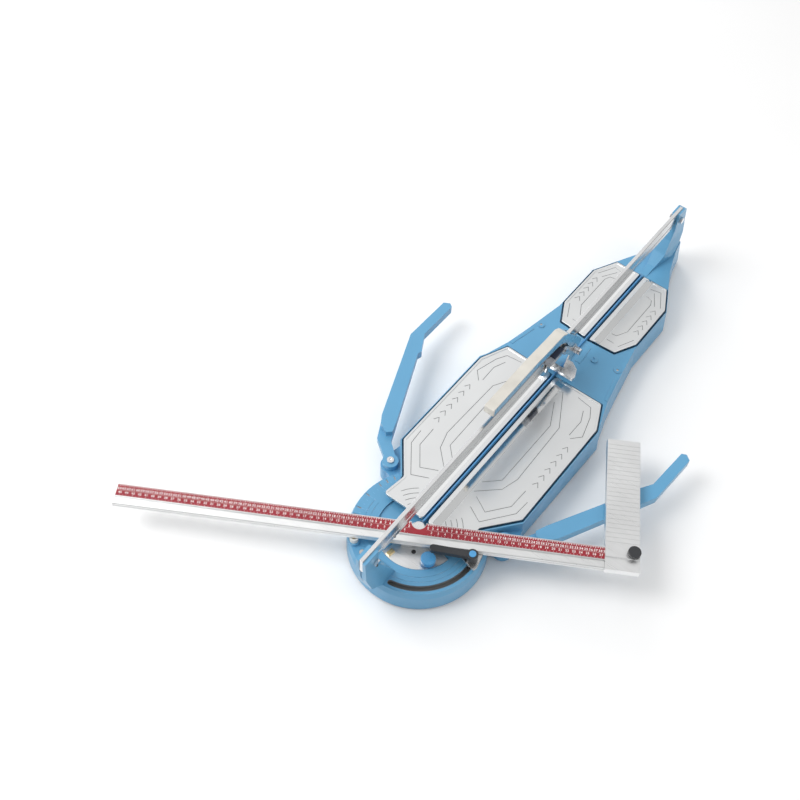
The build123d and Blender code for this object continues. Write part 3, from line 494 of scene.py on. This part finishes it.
def plate_springs():
    """Coil springs under each plate, copied into meshes of their own on the base."""
    for size in ("large", "small"):
        for side in ("left", "right"):
            solid = f"{size}_springs_{side}"
            coils = bpy.data.objects.new(f"{size}_coils_{side}", NODES[solid].data.copy())
            bpy.context.scene.collection.objects.link(coils)
            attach(coils, "base")
            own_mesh(coils)
            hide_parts(solid)


printed_scale()
degree_marks()
small_parts()
plate_springs()


# ---- floor, light and camera --------------------------------------------
FLOOR_REACH = 40.0
LAMP_TARGET = Vector((0, 0.4, 0.1))
LAMPS = {  # place, diameter and power
    "key": ((-1.6, -0.9, 2.6), 1.8, 44.0),
    "fill": ((2.4, 1.0, 2.4), 2.2, 16.0),
    "back": ((-2.6, 2.4, 1.8), 1.8, 22.0),
}
CAMERA_PLACE = Vector((0.590123, -0.897109, 2.085364))
CAMERA_TARGET = Vector((-0.266085, 0.275250, 0.0))   # where its axis meets the floor
CAMERA_ROLL = radians(2.7226)
CAMERA_LENS, CAMERA_SENSOR = 48.12, 36.0             # millimetres
WORLD_FADES = (  # axis, where the fade starts and stops, and the two strengths
    ("Z", 0.05, 0.70, 0.45, 1.0),
    ("X", -0.05, -0.30, 0.60, 1.0),
)


def floor():
    mesh = bpy.data.meshes.new("floor")
    far = FLOOR_REACH
    mesh.from_pydata([(-far, -far, 0), (far, -far, 0), (far, far, 0), (-far, far, 0)], [], [(0, 1, 2, 3)])
    s = Shader("floor_paper", (0.97, 0.97, 0.97), 0.9)
    s.tint(s.noise(1.2, 2.0), 0.01)
    mesh.materials.append(s.material)
    ground = bpy.data.objects.new("floor", mesh)
    bpy.context.scene.collection.objects.link(ground)


def soft_world():
    """White surroundings, darker near the horizon and on one side, for the metals to show."""
    world = bpy.data.worlds.new("studio")
    world.use_nodes = True
    tree = world.node_tree
    background = tree.nodes["Background"]
    background.inputs["Strength"].default_value = 1.0
    split = tree.nodes.new("ShaderNodeSeparateXYZ")
    tree.links.new(tree.nodes.new("ShaderNodeTexCoord").outputs["Generated"], split.inputs[0])
    product = tree.nodes.new("ShaderNodeMix")
    product.data_type = "RGBA"
    product.blend_type = "MULTIPLY"
    product.inputs[0].default_value = 1.0
    for socket, (axis, start, stop, dark, light) in zip((6, 7), WORLD_FADES):
        fade = tree.nodes.new("ShaderNodeMapRange")
        fade.interpolation_type = "SMOOTHSTEP"
        for name, value in (("From Min", start), ("From Max", stop), ("To Min", dark), ("To Max", light)):
            fade.inputs[name].default_value = value
        tree.links.new(split.outputs[axis], fade.inputs["Value"])
        tree.links.new(fade.outputs["Result"], product.inputs[socket])
    tree.links.new(product.outputs[2], background.inputs["Color"])
    bpy.context.scene.world = world
    bpy.context.scene.view_settings.view_transform = "Standard"


def lamps():
    for name, (place, size, power) in LAMPS.items():
        light = bpy.data.lights.new(name, "AREA")
        light.shape = "DISK"
        light.size = size
        light.energy = power
        lamp = bpy.data.objects.new(name, light)
        bpy.context.scene.collection.objects.link(lamp)
        lamp.visible_glossy = name != "back"
        lamp.location = place
        lamp.rotation_euler = (LAMP_TARGET - Vector(place)).to_track_quat("-Z", "Y").to_euler()


def camera():
    data = bpy.data.cameras.new("camera")
    data.sensor_fit = "HORIZONTAL"
    data.sensor_width = CAMERA_SENSOR
    data.lens = CAMERA_LENS
    data.clip_end = 30.0
    eye = bpy.data.objects.new("camera", data)
    bpy.context.scene.collection.objects.link(eye)
    aim = (CAMERA_TARGET - CAMERA_PLACE).to_track_quat("-Z", "Y")
    turn = aim @ Quaternion((0, 0, 1), CAMERA_ROLL)
    eye.matrix_world = Matrix.LocRotScale(CAMERA_PLACE, turn, None)
    bpy.context.scene.camera = eye


floor()
soft_world()
lamps()
camera()
